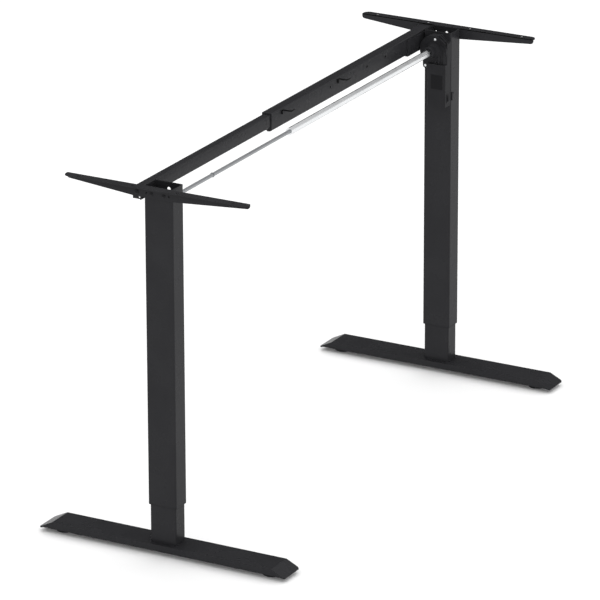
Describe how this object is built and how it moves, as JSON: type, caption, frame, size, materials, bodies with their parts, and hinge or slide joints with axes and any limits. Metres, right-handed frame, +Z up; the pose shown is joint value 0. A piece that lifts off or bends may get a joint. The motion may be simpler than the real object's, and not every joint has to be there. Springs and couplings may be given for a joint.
{
  "type": "standing desk frame",
  "caption": "Height-adjustable standing desk frame with telescoping columns on channel feet, a width-adjustable crossbeam and one motor turning both lift screws by a telescoping hex shaft.",
  "frame": {"origin": "on the floor, midway between the columns", "axes": "+X along the crossbeam towards the motor column, +Y towards the rear, where the crossbeam is, +Z up"},
  "size_m": [1.186, 0.532, 0.726],
  "materials": {
    "powder_coat": "satin",
    "moulded_plastic": "matte",
    "plated_steel": "satin",
    "bare_steel": "satin",
    "brass": "satin",
    "nylon": "matte",
    "board": "gloss",
    "label": "matte"
  },
  "bodies": {
    "left_upper": {"left_outer_column": "powder_coat", "left_side_bracket": "powder_coat", "left_bracket_screws": "moulded_plastic", "left_guide_bush": "moulded_plastic", "left_gear_case": "bare_steel", "left_gear_case_lid": "moulded_plastic", "left_thrust_bearing": "plated_steel", "left_pinion_bush": "brass", "inner_beam": "powder_coat", "inner_beam_bracket": "powder_coat"},
    "left_leg": {"left_inner_column": "powder_coat", "left_top_slider": "nylon", "left_lift_nut": "nylon", "left_foot": "powder_coat", "left_foot_bolts": "bare_steel"},
    "left_screw": {"left_lead_screw": "plated_steel", "left_screw_gear": "bare_steel"},
    "left_front_glide": {"left_front_glide": "moulded_plastic"},
    "left_rear_glide": {"left_rear_glide": "moulded_plastic"},
    "thin_shaft": {"hex_rod": "plated_steel", "left_pinion": "bare_steel", "rod_collar": "plated_steel"},
    "right_upper": {"right_outer_column": "powder_coat", "right_side_bracket": "powder_coat", "right_bracket_screws": "moulded_plastic", "right_guide_bush": "moulded_plastic", "right_gear_case": "bare_steel", "right_gear_case_lid": "moulded_plastic", "right_thrust_bearing": "plated_steel", "right_pinion_bush": "brass", "outer_beam": "powder_coat", "outer_beam_bracket": "powder_coat", "beam_slide_strip": "moulded_plastic", "beam_support_pad": "moulded_plastic", "beam_lock_screws": "plated_steel", "left_cable_hook": "moulded_plastic", "right_cable_hook": "moulded_plastic", "gearbox_housing": "moulded_plastic", "gearbox_screws": "plated_steel", "motor_housing": "moulded_plastic", "motor_can": "bare_steel", "control_board": "board", "motor_label": "label", "power_socket": "moulded_plastic", "cable_latch": "moulded_plastic"},
    "right_leg": {"right_inner_column": "powder_coat", "right_top_slider": "nylon", "right_lift_nut": "nylon", "right_foot": "powder_coat", "right_foot_bolts": "bare_steel"},
    "right_screw": {"right_lead_screw": "plated_steel", "right_screw_gear": "bare_steel"},
    "right_front_glide": {"right_front_glide": "moulded_plastic"},
    "right_rear_glide": {"right_rear_glide": "moulded_plastic"},
    "hollow_shaft": {"drive_tube": "plated_steel", "worm_wheel": "nylon", "right_spindle": "plated_steel", "right_pinion": "bare_steel"},
    "motor_worm": {"motor_worm": "plated_steel"}
  },
  "joints": [
    {"name": "width_adjust", "type": "slide", "parent": "left_upper", "child": "right_upper", "axis": [1, 0, 0], "range_m": [-0.15, 0.1]},
    {"name": "left_lift", "type": "slide", "parent": "left_upper", "child": "left_leg", "axis": [0, 0, -1], "range_m": [0, 0.44]},
    {"name": "right_lift", "type": "slide", "parent": "right_upper", "child": "right_leg", "axis": [0, 0, -1], "range_m": [0, 0.44]},
    {"name": "left_screw_spin", "type": "hinge", "parent": "left_upper", "child": "left_screw", "pos_m": [-0.555, 0, 0.5], "axis": [0, 0, 1], "range_deg": [0, 15841]},
    {"name": "right_screw_spin", "type": "hinge", "parent": "right_upper", "child": "right_screw", "pos_m": [0.555, 0, 0.5], "axis": [0, 0, 1], "range_deg": [-15841, 0]},
    {"name": "thin_shaft_spin", "type": "hinge", "parent": "left_upper", "child": "thin_shaft", "pos_m": [-0.4, 0, 0.692], "axis": [1, 0, 0], "range_deg": [0, 15841]},
    {"name": "hollow_shaft_spin", "type": "hinge", "parent": "right_upper", "child": "hollow_shaft", "pos_m": [0.5, 0, 0.692], "axis": [1, 0, 0], "range_deg": [0, 15841]},
    {"name": "motor_spin", "type": "hinge", "parent": "right_upper", "child": "motor_worm", "pos_m": [0.524, -0.0195, 0.66], "axis": [0, 0, 1], "range_deg": [0, 237601]},
    {"name": "left_front_levelling", "type": "slide", "parent": "left_leg", "child": "left_front_glide", "axis": [0, 0, -1], "range_m": [0, 0.005]},
    {"name": "left_rear_levelling", "type": "slide", "parent": "left_leg", "child": "left_rear_glide", "axis": [0, 0, -1], "range_m": [0, 0.005]},
    {"name": "right_front_levelling", "type": "slide", "parent": "right_leg", "child": "right_front_glide", "axis": [0, 0, -1], "range_m": [0, 0.005]},
    {"name": "right_rear_levelling", "type": "slide", "parent": "right_leg", "child": "right_rear_glide", "axis": [0, 0, -1], "range_m": [0, 0.005]}
  ],
  "couplings": [
    {"joint": "right_lift", "follows": "left_lift", "ratio": 1},
    {"joint": "left_screw_spin", "follows": "left_lift", "rad_per_m": 628.32},
    {"joint": "right_screw_spin", "follows": "left_lift", "rad_per_m": -628.32},
    {"joint": "thin_shaft_spin", "follows": "left_lift", "rad_per_m": 628.32},
    {"joint": "hollow_shaft_spin", "follows": "left_lift", "rad_per_m": 628.32},
    {"joint": "motor_spin", "follows": "left_lift", "rad_per_m": 9424.8}
  ]
}
